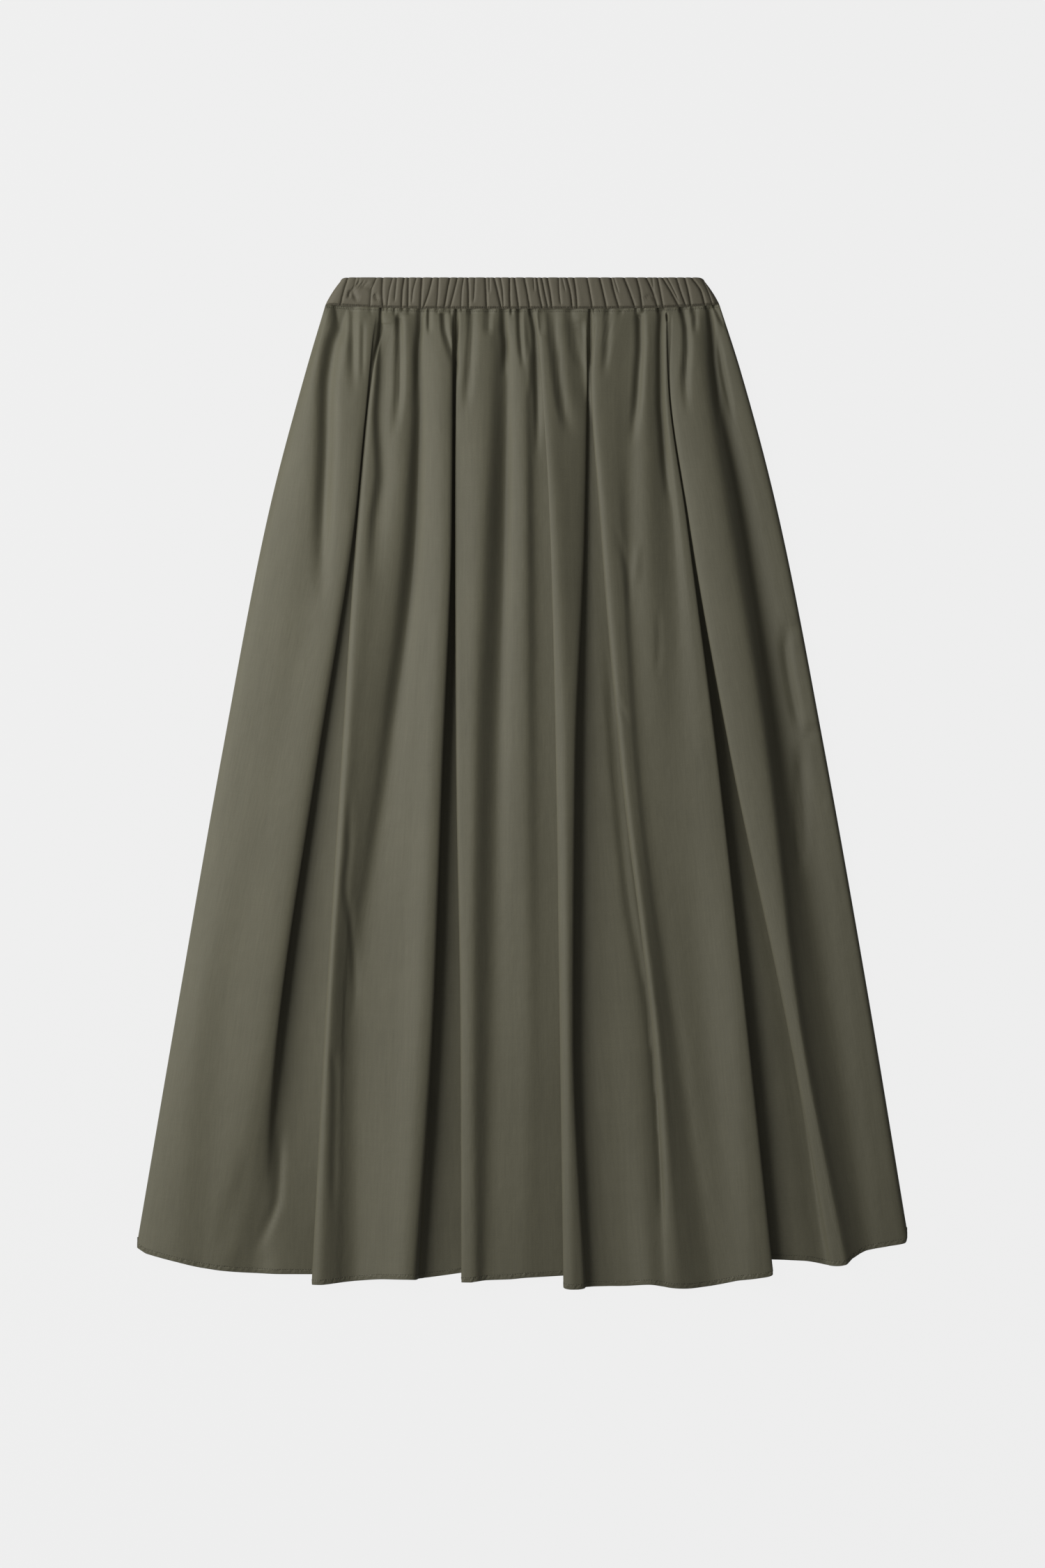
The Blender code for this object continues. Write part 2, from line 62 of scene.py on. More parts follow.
# The front's fold lines from left to right. x_... is the place across the skirt at the six
# stations, z_... the cloth's height at the last four, and drop the cloth's length from the
# seam to the hem. Where x runs back, the cloth doubles under a fold's edge.
Line = namedtuple(
    "Line", "name x_seam x_upper x_hip x_mid x_low x_hem z_hip z_mid z_low z_hem drop"
)
FRONT_LINES = [
    Line("left_side", -169.5, -186.3, -218.7, -257.4, -295.8, -331.8, 0.9, 0.9, 0.9, 0.9, 812),
    Line("left_shoulder", -168, -184, -213.5, -251.5, -290, -324.5, 5, 4.4, 4, 3.6, 816.5),
    Line("left_crest", -165.5, -179.5, -194, -231, -279, -300, 11, 9.6, 8, 7.8, 822.8),
    Line("left_valley", -158.5, -167, -173, -211, -256, -276, 13.2, 13, 10.4, 7.4, 827.8),
    Line("left_roll", -143, -139, -147.8, -180, -216, -256, 16, 17.4, 16.4, 7.6, 829.8),
    Line("left_roll_edge", -126.5, -131.7, -144, -175.6, -208.8, -229, 14, 14.6, 13.6, 3.2, 831),
    Line("left_gap_foot", -123.5, -133.5, -148, -180, -213.2, -212, 11.3, 7.6, 2.6, 5.8, 831.6),
    Line("fold_1_turn", -119.5, -125.5, -136.5, -147.5, -163, -173, 9, 9.2, 5.6, 3.5, 832),
    Line("fold_1_edge", -116, -129.6, -142.6, -156.5, -170.4, -181.8, 11.2, 11.5, 10, 9.6, 840.2),
    Line("fold_1_ridge", -113, -127, -138.5, -151.4, -166.4, -174.5, 14, 15, 14, 13, 840.2),
    Line("fold_1_valley", -107, -119, -122.5, -142, -156.5, -162, 13.4, 12.8, 9.8, 9.5, 839),
    Line("fold_1_rib", -98, -95, -101, -125, -152, -153, 12, 8.2, 6.6, 5.4, 837.8),
    Line("fold_1_dip", -88, -88.5, -92.3, -116.5, -144, -144, 4.5, 4, 4.6, 3.6, 836.8),
    Line("fold_1_crest", -80, -81, -83, -95, -108, -119, 9.5, 10, 11, 10.5, 834.9),
    Line("fold_1_shoulder", -70, -70, -67.5, -75.8, -86, -100, 14, 16, 18, 17, 834.8),
    Line("fold_1_far_edge", -61, -60, -60.6, -68.2, -76.6, -91.5, 12.6, 14, 15.6, 15.2, 835),
    Line("gap_2_foot", -58.5, -60.5, -63.5, -72.5, -80.5, -88, 3, 2.4, 2.2, 2.4, 834.6),
    Line("fold_2_turn", -56, -54, -53.5, -52.5, -48, -45, 4, 2.2, 1.4, 1.2, 829),
    Line("fold_2_edge", -53.5, -57.2, -58.4, -57.6, -54, -53.4, 9, 9.5, 8.5, 9, 837.5),
    Line("fold_2_ridge", -49.5, -53.4, -52, -50, -48, -45.5, 11.2, 12.5, 12, 11.5, 837.5),
    Line("fold_2_crest", -28, -27.5, -32, -39.6, -41.4, -40, 14.6, 14, 12.4, 11.2, 836.8),
    Line("fold_2_valley", -15, -14, -16, -23, -27.4, -32, 5, 5.4, 5.8, 7, 835.9),
    Line("fold_2_rib", -6, -7, -7.5, -8.5, -7.5, -10, 10.2, 9.6, 7.8, 7, 835),
    Line("fold_2_rib_end", 0, 1.6, 3, 3.5, 5, 2, 12.4, 11.4, 9.6, 7.4, 833.8),
    Line("fold_2_dip", 4, 8.8, 11.2, 14, 17, 20, 8.8, 8.6, 8.4, 6, 832.8),
    Line("fold_3_turn", 8, 20.5, 29, 34, 36, 43, 10, 9.4, 8, 5.6, 831.5),
    Line("fold_3_edge", 10, 15.5, 23, 28.2, 31.6, 34.4, 12, 11.4, 9.5, 9.5, 841.6),
    Line("fold_3_ridge", 14, 20, 28.6, 34.4, 36.4, 41.5, 14, 14.8, 13.8, 12.8, 843.5),
    Line("fold_3_crest", 34, 33, 39, 39.2, 40.4, 47, 12.2, 15.4, 14.6, 12.6, 843.5),
    Line("fold_3_far_edge", 54, 56, 54, 45.6, 43.8, 53.4, 7, 13, 12.4, 10.4, 842.8),
    Line("gap_4_foot", 57, 54.8, 51.5, 43.5, 41, 55, 2.8, 2.4, 2.2, 2.6, 842),
    Line("gap_4_floor", 58.2, 56.3, 56, 60, 70, 90, 2.6, 1.8, 1.8, 2.2, 841),
    Line("gap_4_rise", 59.5, 57.8, 60, 74, 99, 109, 2.6, 2.4, 4.2, 7, 839.8),
    Line("fold_4_turn", 62, 62, 71, 89, 116, 121, 4.2, 2, 3.2, 6.6, 841.3),
    Line("fold_4_edge", 64.5, 58.9, 66.6, 84, 110.8, 127, 9.5, 8.5, 7.6, 7.8, 842.4),
    Line("fold_4_ridge", 68.5, 62.2, 70.6, 87.6, 115.6, 134, 12.8, 12.4, 10.6, 8.2, 843),
    Line("fold_4_slope", 86, 75, 82.5, 95, 122.4, 142, 12.4, 12, 7.8, 6.8, 843.3),
    Line("fold_4_valley", 97, 93, 92, 102, 131, 163, 9.8, 9.4, 4.4, 2.6, 841.2),
    Line("fold_4_crest", 106, 106, 108, 119, 141, 175, 12.4, 9.8, 4.9, 4.4, 839),
    Line("fold_4_dip", 117, 118.5, 129, 138, 158.5, 185, 8.4, 11, 6, 7.6, 837),
    Line("fold_4_rib", 121, 122.5, 135.5, 160.5, 185, 200, 11, 14.4, 14.4, 12, 835.2),
    Line("fold_4_far_edge", 123.5, 125, 141.4, 168, 192.8, 215.8, 10.6, 14, 13.8, 11.8, 831.8),
    Line("gap_5_foot", 125, 123.8, 137.5, 164, 188.5, 209, 8, 2.4, 2.4, 2.4, 819.5),
    Line("gap_5_floor", 126.5, 125.8, 141.5, 171.5, 214, 243, 7.8, 1.6, 1.5, 1.8, 820.6),
    Line("fold_5_turn", 128, 129.8, 147.5, 182, 229.5, 262, 8.6, 1.6, 1.4, 1.8, 824),
    Line("fold_5_edge", 129.5, 126.4, 142.6, 178.4, 225, 265, 10, 10, 8.4, 6.4, 824.6),
    Line("fold_5_ridge", 134, 129.8, 147, 184.6, 231, 271.5, 12.8, 13.2, 12.6, 8.8, 825),
    Line("fold_5_crest", 149, 155, 176, 210, 237, 278, 16, 16.4, 14, 9.8, 824.7),
    Line("fold_5_far_edge", 156.5, 162.5, 185, 216, 242.6, 284, 9.8, 10, 9, 6, 820),
    Line("right_valley", 161, 167, 191, 223.5, 261, 296, 3.4, 2, 1.5, 1.8, 813.6),
    Line("right_crest", 165, 176.5, 206, 249, 286, 313, 6.4, 6.6, 5, 3.4, 810.4),
    Line("right_shoulder", 168, 186.6, 218.7, 257.8, 296.2, 330, 6.8, 7, 5.4, 3.6, 807.4),
    Line("right_side", 169.5, 187.5, 219.6, 258.6, 297, 331.4, 0.9, 0.9, 0.9, 0.9, 802.9),
]
LINE_NAMES = [line.name for line in FRONT_LINES]

# The folds' edges that meet part of the way down, and the smallest gap between them
MEETING_EDGES = (
    ("left_roll_edge", "fold_1_edge"),
    ("fold_1_far_edge", "fold_2_edge"),
    ("fold_3_far_edge", "fold_4_edge"),
    ("fold_4_far_edge", "fold_5_edge"),
)
SMALLEST_FOLD_GAP = 0.8

# The front's creases. Each runs along its path, sinks by depth at its middle (or rises, where
# depth is negative), is left and right wide to its two sides, and fades over a share of its
# length at its start and its end.
Crease = namedtuple("Crease", "name path depth left right start end")
FRONT_CREASES = [
    Crease(
        "left_trough",
        ((-160, 408), (-161, 393), (-166, 378), (-171.5, 339), (-172.5, 290), (-175, 231), (-177, 139)),
        6.0, 6, 6.5, 0, 0.45,
    ),
    Crease("left_soft", ((-148, 406), (-148, 330)), 2.8, 3.5, 3.5, 0, 0.6),
    Crease("left_rim", ((-138, 402), (-139, 340)), 1.0, 2, 2, 0.2, 0.5),
    Crease(
        "fold_1_inner",
        ((-122.5, 402), (-124, 351), (-126, 315), (-124, 267), (-129, 224), (-131, 177), (-129, 150)),
        3.8, 3, 11, 0.05, 0.4,
    ),
    Crease(
        "fold_1_line",
        ((-122.4, 408), (-123.5, 390), (-127, 372), (-131, 355)),
        2.4, 1.2, 1.4, 0, 0.4,
    ),
    Crease(
        "fold_1_top",
        ((-108, 406), (-107.5, 390), (-107.5, 348), (-110, 315), (-115, 290)),
        4.0, 2.4, 3, 0.06, 0.45,
    ),
    Crease(
        "fold_1_dip_top",
        ((-89, 408), (-89.5, 394), (-91.5, 370), (-92, 346), (-93, 314)),
        3.2, 2.0, 2.6, 0, 0.6,
    ),
    Crease("fold_1_short", ((-81.5, 405), (-81.5, 384)), 1.8, 1.8, 2, 0, 0.6),
    Crease("pucker_left", ((-69.5, 406), (-68.5, 392), (-63, 371), (-60, 358)), 3.4, 2, 2.6, 0.04, 0.5),
    Crease("fold_2_line", ((-57.5, 406), (-57.5, 339)), 2.4, 1.3, 1.5, 0, 0.4),
    Crease("fold_2_top", ((-45.5, 406), (-45.5, 390), (-48, 350), (-51, 315)), 3.0, 2.2, 2.8, 0, 0.4),
    Crease("fold_2_short", ((-30.5, 406), (-31, 383)), 2.6, 2, 2.2, 0, 0.5),
    Crease("middle_left", ((-17.5, 408), (-17.5, 394), (-16, 378), (-17, 346)), 4.0, 2.2, 2.6, 0, 0.5),
    Crease("middle_top", ((-4, 407), (-3.5, 390), (0, 351)), 2.8, 2, 2.2, 0, 0.5),
    Crease("fold_3_rise", ((4.5, 380), (4.5, 330)), -1.0, 2.4, 2.4, 0.3, 0.4),
    Crease(
        "fold_3_inner",
        ((6.5, 406), (9.5, 387), (10.8, 351), (11.4, 315), (10.8, 267)),
        3.0, 2.2, 3, 0, 0.5,
    ),
    Crease("fold_3_short", ((14.5, 405), (15.5, 382)), 2.0, 1.8, 1.8, 0, 0.5),
    Crease(
        "fold_3_top",
        ((22, 408), (24, 387), (26.5, 370), (29, 346), (32.5, 322), (37, 306), (44, 295)),
        4.0, 2.6, 5, 0, 0.35,
    ),
    Crease("fold_3_slope", ((43, 404), (45, 352), (50, 306)), 3.2, 12, 3, 0.15, 0.35),
    Crease(
        "fold_3_side",
        ((39, 405), (42, 387), (46, 366), (50.5, 358), (56, 351)),
        2.4, 2, 2.4, 0, 0.5,
    ),
    Crease("fold_3_far", ((43.5, 407), (43.5, 388)), 1.8, 1.6, 1.8, 0, 0.6),
    Crease("fold_4_line", ((57.5, 406), (57.5, 350)), 2.4, 1.4, 1.6, 0, 0.4),
    Crease("fold_4_top", ((72.5, 406), (72, 390), (70.5, 370), (68, 347)), 2.8, 2, 2.2, 0, 0.5),
    Crease(
        "fold_4_deep",
        ((99, 406), (99.5, 378), (98, 354), (96.5, 330), (94, 308), (91.5, 286)),
        4.2, 3.2, 3.4, 0.03, 0.45,
    ),
    Crease(
        "fold_4_long",
        ((118, 405), (117, 378), (117, 330), (118.5, 306), (122.5, 258), (126.5, 232)),
        3.6, 2.6, 2.8, 0, 0.35,
    ),
    Crease(
        "fold_5_top",
        ((137, 406), (139.5, 390), (140, 374), (138.5, 347), (141, 312)),
        3.6, 2.4, 2.6, 0, 0.5,
    ),
    Crease("fold_5_nick", ((123.4, 406), (124.2, 397)), 2.6, 0.9, 0.9, 0.3, 0.3),
    Crease("fold_5_short", ((147.5, 406), (147.5, 384)), 1.8, 2, 2, 0, 0.6),
    Crease(
        "right_top",
        ((159.5, 406), (161, 392), (162.5, 362), (165, 339), (170, 295)),
        3.0, 2.6, 2.6, 0, 0.4,
    ),
    Crease("right_edge", ((164.5, 410), (170.5, 397), (175, 389)), 1.5, 2, 2, 0, 0.5),
    Crease("right_branch", ((164.5, 394), (171, 354), (176, 330), (182, 303)), 1.9, 2.6, 2.6, 0.3, 0.4),
    Crease("drag_left", ((77, 225), (82, 207), (89, 179), (91, 135)), 0.7, 3, 3, 0.3, 0.4),
    Crease("drag_ridge", ((98, 213), (95, 166)), -0.9, 3, 3, 0.4, 0.4),
    Crease("drag_fine", ((115, 154), (116, 120), (113, 84)), 0.8, 2, 2.5, 0.3, 0.4),
    Crease("drag_cross", ((78, 73), (90, 53)), 0.9, 2.5, 2.5, 0.4, 0.4),
    Crease("right_second", ((237, 44), (237, 0), (236, -84)), 2.8, 4, 5, 0.3, 0.4),
    Crease(
        "underlay_4",
        ((70, 123), (78, 18), (88, -93), (107.5, -205), (116, -315), (119, -393)),
        1.6, 4, 3, 0.15, 0.1,
    ),
    Crease("right_upper", ((226, 145), (224, 117), (227, 93), (238, 36)), 2.8, 4, 4, 0.3, 0.3),
    Crease("right_cross", ((259, 51), (248, 46), (238, 39)), 1.5, 2.5, 2.5, 0, 0.5),
    Crease("right_cross_high", ((240, 143), (227, 129)), 0.9, 3, 3, 0, 0.6),
    Crease("left_low", ((-243, -300), (-246, -340), (-257, -374), (-262, -407)), 1.3, 9, 9, 0.4, 0.2),
    Crease(
        "left_line",
        ((-211, -285), (-211.5, -322), (-213, -355), (-221, -378), (-231, -396), (-243, -403)),
        2.2, 5, 3, 0.3, 0.4,
    ),
    Crease(
        "ridge_1_side",
        ((-150, 10), (-151, -54), (-154, -91), (-150, -115), (-146, -176), (-152, -215)),
        1.3, 2.5, 3.5, 0.3, 0.3,
    ),
    Crease("ridge_1_low", ((-165, -224), (-163, -256), (-164, -345), (-164, -380)), 1.2, 2.5, 4, 0.1, 0.3),
    Crease("underlay_5", ((243, -355), (256, -398)), 1.3, 2.5, 2.5, 0.3, 0.4),
]
CREASE_STEP = 2.0
CREASE_REACH = 3.0
CREASE_SHADE_SHIFT = 0.6
TOP_LAYER_DEPTH = 1.5
BIN_WIDTH = 0.7

# The tiny puckers that the seam draws into the cloth under each of the band's gathers
PUCKER_LENGTH = 9.0
PUCKER_DEPTH = 0.95
PUCKER_WIDTH = 1.1

# The back's creases, much like the front's soft ones
BACK_CREASES = [
    Crease("back_1", ((-150, 404), (-163, 300), (-190, 120), (-214, -60)), -2.6, 6, 9, 0, 0.5),
    Crease("back_2", ((-112, 405), (-120, 240), (-139, 20), (-160, -200)), -3.2, 7, 10, 0, 0.5),
    Crease("back_3", ((-71, 405), (-76, 260), (-86, 90), (-100, -260)), -2.5, 6, 8, 0, 0.6),
    Crease("back_4", ((-30, 405), (-34, 200), (-41, -60), (-44, -330)), -3.3, 8, 8, 0, 0.5),
    Crease("back_5", ((12, 405), (14, 250), (16, 60)), -2.4, 6, 6, 0, 0.6),
    Crease("back_6", ((55, 405), (62, 220), (74, -10), (96, -300)), -2.1, 9, 7, 0, 0.5),
    Crease("back_7", ((98, 405), (110, 230), (131, 30), (150, -140)), -2.7, 7, 7, 0, 0.6),
    Crease("back_8", ((139, 404), (160, 260), (192, 60), (232, -250)), -2.2, 9, 7, 0, 0.5),
]

# The back's hem, shorter than the front's between the sides: place across, length from the seam
BACK_HEM = (
    (-332, 811.9), (-323, 813), (-300, 816), (-220, 821), (0, 825), (200, 814),
    (280, 806.5), (310, 804.6), (332, 803.6),
)  # fmt: skip
BACK_SIDE_ROLL = 3.0
BACK_CREASE_SHARE = 0.35
BACK_CREASE_INSET = 14.0
BACK_COLUMNS = 180

# The front band's gathers: the place of each crease at the band's top, middle and foot, its
# depth, and the share of the band's height that it runs down
Gather = namedtuple("Gather", "top middle foot depth reach")
BAND_GATHERS = [
    Gather(-150, -153.5, -156.5, 1.7, 1),
    Gather(-143, -146, -149, 0.7, 0.3),
    Gather(-140, -143, -146, 0.5, 0.25),
    Gather(-125.5, -130, -131, 1.1, 1),
    Gather(-120, -120.6, -119.7, 1.9, 1),
    Gather(-111.6, -114.6, -116.4, 1.0, 0.9),
    Gather(-108, -109.2, -110.4, 1.2, 0.65),
    Gather(-101.4, -103.2, -103.8, 1.9, 1),
    Gather(-97.8, -98.1, -98.4, 1.8, 1),
    Gather(-91.2, -94.2, -95.4, 1.1, 0.7),
    Gather(-86.1, -87, -87.6, 2.0, 1),
    Gather(-77.4, -80.4, -85.2, 1.6, 1),
    Gather(-72, -72.6, -73.8, 1.3, 1),
    Gather(-62.4, -64.8, -67.2, 1.9, 1),
    Gather(-55.8, -58.8, -62.4, 1.5, 1),
    Gather(-50.4, -52.2, -52.8, 1.1, 0.9),
    Gather(-46.8, -46.2, -46.2, 1.9, 1),
    Gather(-40.8, -41.4, -42.6, 1.2, 0.65),
    Gather(-31.8, -31.2, -30.6, 1.9, 1),
    Gather(-28.2, -28.2, -27.5, 0.8, 0.35),
    Gather(-24, -21, -18, 2.0, 1),
    Gather(-18.6, -16.8, -16.2, 1.3, 1),
    Gather(-10.8, -10.8, -10.2, 1.9, 1),
    Gather(-6.6, -4.8, -3, 1.9, 1),
    Gather(1.8, 4.2, 6.6, 2.0, 1),
    Gather(9.6, 10.4, 11, 0.9, 0.3),
    Gather(12.6, 14.4, 17.4, 1.8, 1),
    Gather(16.8, 19.2, 22.2, 1.8, 1),
    Gather(21.6, 24, 25.8, 1.9, 1),
    Gather(31.2, 31.8, 33.6, 1.3, 0.75),
    Gather(34.2, 37.2, 39.5, 0.8, 0.3),
    Gather(38.4, 41.4, 43.2, 1.9, 1),
    Gather(44.4, 46.2, 47.4, 1.8, 1),
    Gather(55.8, 58.2, 60.6, 1.6, 1),
    Gather(66.6, 69.6, 72.6, 2.0, 1),
    Gather(76.2, 79.2, 83.4, 1.9, 1),
    Gather(78.8, 82.6, 86, 0.8, 0.35),
    Gather(87.6, 92.4, 97.2, 2.0, 1),
    Gather(98.4, 101.4, 103.2, 1.8, 1),
    Gather(106.8, 112.2, 116.4, 2.0, 1),
    Gather(111.8, 113, 116, 0.8, 0.3),
    Gather(116.4, 118.8, 121.2, 1.7, 1),
    Gather(120.6, 127.8, 135, 2.0, 1),
    Gather(124.8, 130.8, 137, 1.1, 0.6),
    Gather(132.6, 136.2, 141, 1.7, 0.9),
    Gather(139.8, 142.8, 145.2, 1.9, 1),
    Gather(145.8, 153.6, 157.2, 2.0, 1),
    Gather(154.8, 159.6, 163.8, 1.2, 1),
]
GATHER_KNOTS = (0.0, 0.47, 1.0)
GATHER_LEFT_WIDTH = 1.0
GATHER_RIGHT_WIDTH = 0.7
GATHER_DEPTH_SHARE = 1.05
GATHER_END_FADE = 0.2
FOOT_STRIP = 0.1

# The small ridge of cloth just above the waist seam: its height, and its place and half width
# as shares of the band's height
SEAM_RIDGE = 0.5
SEAM_RIDGE_PLACE = 0.905
SEAM_RIDGE_WIDTH = 0.032

# Dents of the band's plain left end, as short creases on the band's own face
BAND_DENTS = [
    Crease("end_fan", ((-148, 426), (-146, 419), (-142, 412)), 1.5, 1.5, 2.4, 0.3, 0.4),
    Crease("end_nick", ((-149, 424), (-150.5, 416)), 1.4, 1.4, 1.6, 0.3, 0.3),
    Crease("end_fine_1", ((-140, 433), (-146, 425)), 0.7, 0.9, 1.0, 0.2, 0.4),
    Crease("end_fine_2", ((-136, 433), (-143, 425)), 0.6, 0.9, 1.0, 0.2, 0.4),
    Crease("end_fine_3", ((-132, 433), (-140, 426)), 0.5, 0.9, 1.0, 0.2, 0.4),
    Crease("end_cross", ((-142, 426), (-134, 426), (-129, 421)), 0.9, 2, 2.5, 0.4, 0.4),
    Crease("end_foot", ((-129, 420), (-124, 413)), 1.4, 1.8, 2, 0.3, 0.5),
    Crease("right_arch", ((104, 415), (110, 418), (115, 413)), 0.9, 1.5, 1.5, 0.4, 0.4),
]

# The bands' faces: heights of the outer and the inner face, and how the front's swells
FRONT_BAND_INNER = 2.75
FRONT_BAND_OUTER = 5.2
FRONT_BAND_SWELL = 0.9
FRONT_BAND_FOOT = 3.7
BACK_BAND_INNER = 2.4
BACK_BAND_OUTER = 0.15
BAND_MIDDLE = 2.55
BAND_SIDE_CLOSE = 60
BAND_COLUMNS = 1100
BACK_BAND_COLUMNS = 400
BAND_FOOT_ZONE = 0.84
BAND_FOOT_ROWS = 12
BAND_FACE_ROWS = 17
BAND_ROLL_ROWS = 5
BAND_INNER_ROWS = 5
BACK_GATHERS = 43

# How finely the sheets are cut into faces
ROWS_AT_SEAM = (22, 0.03)
ROWS_BELOW_SEAM = (24, 0.12)
ROWS_IN_ALL = 205
FACE_WIDTH = 2.35
LEAST_PER_SPAN = 5
MOST_PER_SPAN = 17
SOFTENING_PASSES = 2
HEM_FINENESS = 3
HEM_FACE_ROWS = 9
HEM_ROLL_ROWS = 5
HEM_INNER_ROWS = 3

# Stitches
Stitch = namedtuple("Stitch", "pitch length radius slant")
HEM_STITCH = Stitch(2.2, 1.15, 0.19, 0.12)
WAIST_STITCH = Stitch(1.9, 1.35, 0.25, 0.3)
STITCH_SIDES = 6
WAIST_STITCHES_BELOW_SEAM = 2.0

# The seams' fine puckers in the cloth's bump, in metres: their pitch and how far they reach
SEAM_PUCKER_PITCH = 0.0021
SEAM_PUCKER_REACH = 0.0046
SEAM_PUCKER_HEIGHT = 0.0007

# The pale floor, the light and the camera
FLOOR_LEVEL = 0.845
FLOOR_FILL = 0.12
SKY_FILL = 0.13
CAMERA_HEIGHT = 6.0
CAMERA_LENS = 160.0
CAMERA_SENSOR = 24.0
CAMERA_DROP = 0.0003


def curve_through(knots, values, at):
    """A smooth curve through the values, which never swings past them, read at the places at."""
    knots = np.asarray(knots, float)
    values = np.asarray(values, float)
    steps = np.diff(knots).reshape((-1,) + (1,) * (values.ndim - 1))
    slopes = np.diff(values, axis=0) / steps
    tangents = np.zeros_like(values)
    tangents[0], tangents[-1] = slopes[0], slopes[-1]
    before, after = slopes[:-1], slopes[1:]
    level = before * after <= 0
    safe_before = np.where(level, 1.0, before)
    safe_after = np.where(level, 1.0, after)
    weight_before = 2 * steps[1:] + steps[:-1]
    weight_after = steps[1:] + 2 * steps[:-1]
    blended = (weight_before + weight_after) / (
        weight_before / safe_before + weight_after / safe_after
    )
    tangents[1:-1] = np.where(level, 0.0, blended)
    at = np.asarray(at, float)
    span = np.clip(np.searchsorted(knots, at, side="right") - 1, 0, len(knots) - 2)
    step = steps[span]
    t = ((at - knots[span]).reshape(step.shape)) / step
    start, end = values[span], values[span + 1]
    return (
        (2 * t**3 - 3 * t**2 + 1) * start
        + (t**3 - 2 * t**2 + t) * step * tangents[span]
        + (3 * t**2 - 2 * t**3) * end
        + (t**3 - t**2) * step * tangents[span + 1]
    )


def section_through(corners, columns):
    """A rounded path through a section's corners, read at places counted in corners."""
    legs = np.diff(corners, axis=0)
    spans = np.sqrt(np.linalg.norm(legs, axis=1, keepdims=True))
    speeds = legs / spans
    before, after = spans[:-1], spans[1:]
    tangents = np.empty_like(corners)
    tangents[0], tangents[-1] = speeds[0], speeds[-1]
    tangents[1:-1] = (speeds[:-1] * after + speeds[1:] * before) / (before + after)
    span = np.clip(columns.astype(int), 0, len(corners) - 2)
    t = (columns - span)[:, None]
    step = spans[span]
    return (
        (2 * t**3 - 3 * t**2 + 1) * corners[span]
        + (t**3 - 2 * t**2 + t) * step * tangents[span]
        + (3 * t**2 - 2 * t**3) * corners[span + 1]
        + (t**3 - t**2) * step * tangents[span + 1]
    )


def soften(section, passes):
    """Rounds a section's points towards their neighbours, with its ends held."""
    for _ in range(passes):
        inner = (section[:-2] + 2 * section[1:-1] + section[2:]) / 4
        section = np.concatenate((section[:1], inner, section[-1:]))
    return section


def smooth_step(t):
    t = np.clip(t, 0, 1)
    return t * t * (3 - 2 * t)


def keep_folds_apart(places):
    """Moves the edges of two folds that meet so that a narrow gap stays between them."""
    for left_name, right_name in MEETING_EDGES:
        left, right = LINE_NAMES.index(left_name), LINE_NAMES.index(right_name)
        short = max(0.0, SMALLEST_FOLD_GAP - (places[right] - places[left]))
        places[left] -= short / 2
        places[right] += short / 2


def line_places(line):
    return (line.x_seam, line.x_upper, line.x_hip, line.x_mid, line.x_low, line.x_hem)


def line_heights(line):
    rising = [SEAM_HEIGHT + rise * (line.z_hip - SEAM_HEIGHT) for rise in RISES]
    return (*rising, line.z_hip, line.z_mid, line.z_low, line.z_hem)


def seam_y(x):
    """The waist seam, which rises a little towards the sides."""
    return SEAM_Y + SEAM_END_RISE * (np.abs(x) / BAND_FOOT_HALF) ** SEAM_CURVE_POWER


def front_columns():
    """Places across the front, counted in fold lines, spread by the cloth's width between them."""
    first = len(RISES) - 1
    places = []
    for i, (line, following) in enumerate(zip(FRONT_LINES, FRONT_LINES[1:])):
        across = np.subtract(line_places(following), line_places(line))[2:]
        up = np.subtract(line_heights(following), line_heights(line))[first + 1 :]
        widest = np.hypot(across, up).max()
        count = int(np.clip(np.ceil(widest / FACE_WIDTH), LEAST_PER_SPAN, MOST_PER_SPAN))
        places += [i + j / count for j in range(count)]
    return np.array(places + [len(FRONT_LINES) - 1], float)


def length_rows():
    """Shares of the way from the seam to the hem, close together at the seam."""
    near_count, near_end = ROWS_AT_SEAM
    next_count, next_end = ROWS_BELOW_SEAM
    near = np.linspace(0, near_end, near_count, endpoint=False)
    following = np.linspace(near_end, next_end, next_count, endpoint=False)
    rest = np.linspace(next_end, 1, ROWS_IN_ALL - near_count - next_count)
    return np.concatenate((near, following, rest))


def front_surface(columns, rows):
    """The front's sheet: an array of points, a row for each share of the length."""
    place_table = np.array([line_places(line) for line in FRONT_LINES]).T
    height_table = np.array([line_heights(line) for line in FRONT_LINES]).T
    height_stations = (*RISE_STATIONS, *STATIONS[2:])
    drop_table = np.array([line.drop for line in FRONT_LINES])
    knots = np.arange(len(FRONT_LINES))
    drops = curve_through(knots, drop_table, columns)
    x_at_seam = curve_through(knots, place_table[0], columns)
    points = np.empty((len(rows), len(columns), 3))
    for i, share in enumerate(rows):
        lines_x = curve_through(STATIONS, place_table, [share])[0]
        lines_z = curve_through(height_stations, height_table, [share])[0]
        keep_folds_apart(lines_x)
        section = section_through(np.stack((lines_x, lines_z), axis=1), columns)
        section = soften(section, SOFTENING_PASSES)
        points[i, :, 0] = section[:, 0]
        points[i, :, 1] = seam_y(x_at_seam) - share * (drops - HEM_TURN)
        points[i, :, 2] = np.maximum(section[:, 1], SIDE_HEIGHT)
    return points


